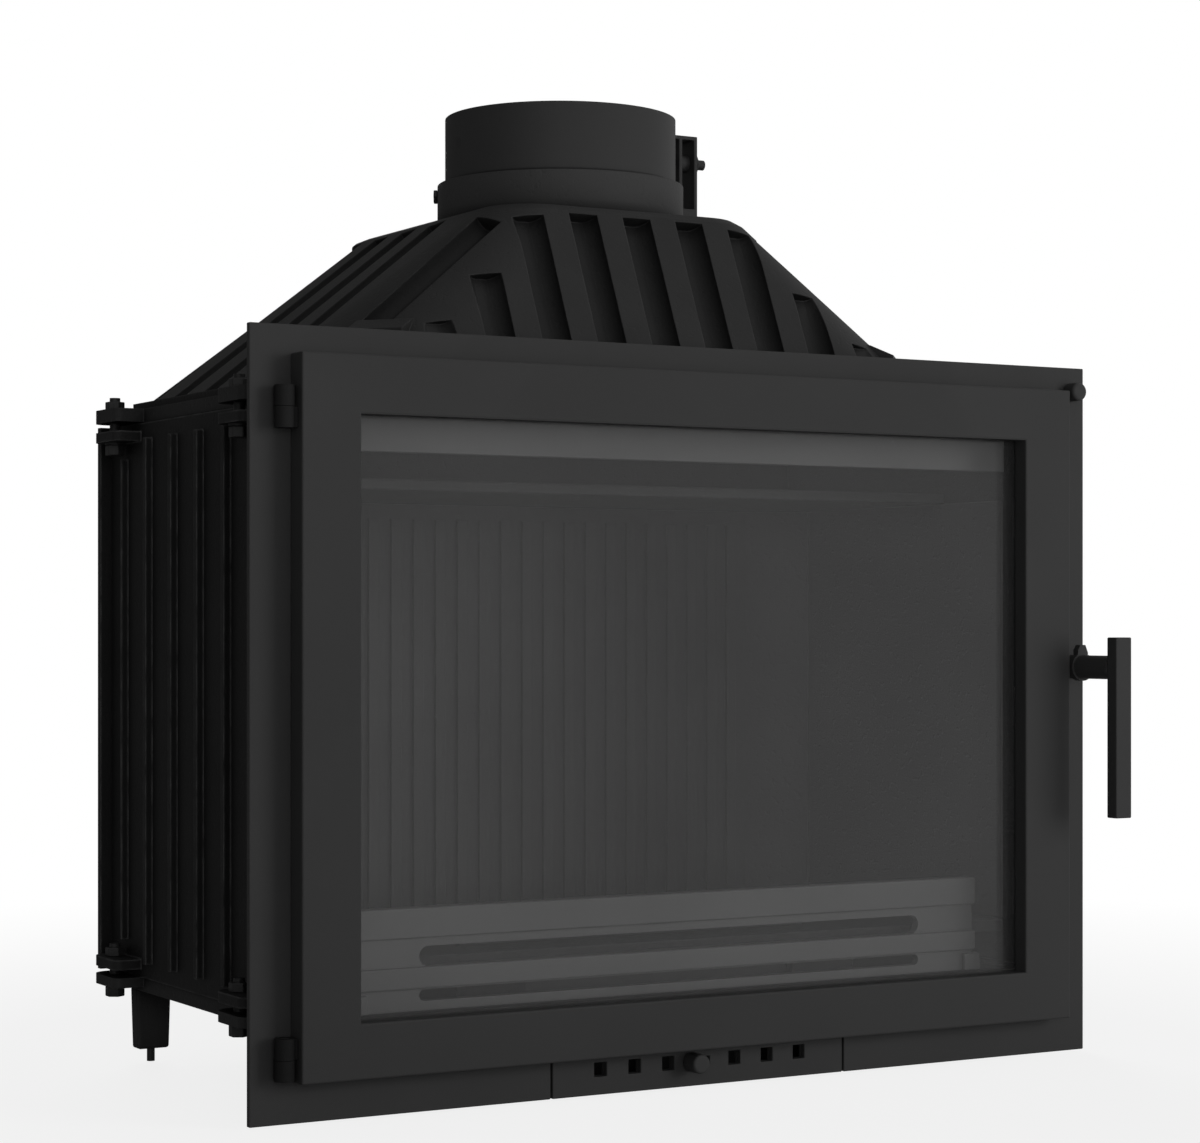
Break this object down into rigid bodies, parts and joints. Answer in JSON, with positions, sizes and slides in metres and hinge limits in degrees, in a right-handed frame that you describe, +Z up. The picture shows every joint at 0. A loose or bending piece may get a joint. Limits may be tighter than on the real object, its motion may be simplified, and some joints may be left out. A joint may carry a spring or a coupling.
{
  "type": "fireplace insert",
  "caption": "Cast iron fireplace insert with a wide glazed door, ribbed hood, round flue collar with damper, and an air slider under the door.",
  "frame": {"origin": "middle of the footprint, on the floor under the levelling screws", "axes": "+X to the right seen from the front, +Y to the back, +Z up; the door faces -Y"},
  "size_m": [0.7, 0.4284, 0.726],
  "materials": {
    "cast_iron": "matt black heat-proof paint over cast iron",
    "painted_steel": "satin charcoal heat-proof paint",
    "bolt_steel": "blackened steel",
    "bronze": "plain bearing bronze",
    "ceramic_glass": "clear glass ceramic",
    "sealing_rope": "woven glass fibre rope and tape"
  },
  "bodies": {
    "firebox": {"front_plate": "painted_steel", "plate_bolts": "bolt_steel", "air_panel": "painted_steel", "air_duct": "painted_steel", "hinge_lugs": "painted_steel", "hinge_pins": "bolt_steel", "shaft_bush": "bronze", "corner_stud": "painted_steel", "left_wall": "cast_iron", "right_wall": "cast_iron", "rear_wall": "cast_iron", "base_casting": "cast_iron", "sill_strips": "cast_iron", "feet": "cast_iron", "levelling_screws": "bolt_steel", "hood_casting": "cast_iron", "top_corner_bolts": "bolt_steel", "top_corner_nuts": "bolt_steel", "bottom_corner_bolts": "bolt_steel", "bottom_corner_nuts": "bolt_steel", "flue_collar": "painted_steel", "collar_screws": "bolt_steel", "damper_bracket": "painted_steel", "hearth_plate": "cast_iron", "ash_pan": "painted_steel", "left_lining": "cast_iron", "right_lining": "cast_iron", "back_lining": "cast_iron", "baffle_plate": "cast_iron", "retainer_brackets": "cast_iron", "air_deflector": "painted_steel", "deflector_screws": "bolt_steel"},
    "door": {"door_frame": "painted_steel", "door_rope": "sealing_rope", "glass_gasket": "sealing_rope", "door_glass": "ceramic_glass", "glass_clips": "bolt_steel", "door_keeper": "painted_steel", "hinge_knuckles": "painted_steel"},
    "handle": {"handle_shaft": "painted_steel", "handle_bar": "painted_steel", "latch_cam": "painted_steel", "shaft_nut": "bolt_steel"},
    "damper": {"damper_axle": "bolt_steel", "damper_disc": "painted_steel", "damper_straps": "painted_steel", "damper_hub": "painted_steel", "damper_nut": "bolt_steel"},
    "air_control": {"air_slider": "painted_steel", "air_knob": "painted_steel"},
    "grate": {"fire_grate": "cast_iron"},
    "retainer": {"log_retainer": "cast_iron"}
  },
  "joints": [
    {"name": "door_swing", "type": "hinge", "parent": "firebox", "child": "door", "pos_m": [-0.329, -0.15925, 0.267], "axis": [0, 0, -1], "range_deg": [0, 110]},
    {"name": "handle_turn", "type": "hinge", "parent": "firebox", "child": "handle", "pos_m": [0.336, -0.16925, 0.3], "axis": [0, -1, 0], "range_deg": [0, 45]},
    {"name": "damper_turn", "type": "hinge", "parent": "firebox", "child": "damper", "pos_m": [0, 0.05975, 0.702], "axis": [1, 0, 0], "range_deg": [0, 90]},
    {"name": "air_slide", "type": "slide", "parent": "firebox", "child": "air_control", "axis": [1, 0, 0], "range_m": [0, 0.014]},
    {"name": "grate_lift", "type": "slide", "parent": "firebox", "child": "grate", "axis": [0, 0, 1], "range_m": [0, 0.06]},
    {"name": "retainer_lift", "type": "slide", "parent": "firebox", "child": "retainer", "axis": [0, 0, 1], "range_m": [0, 0.1]}
  ]
}
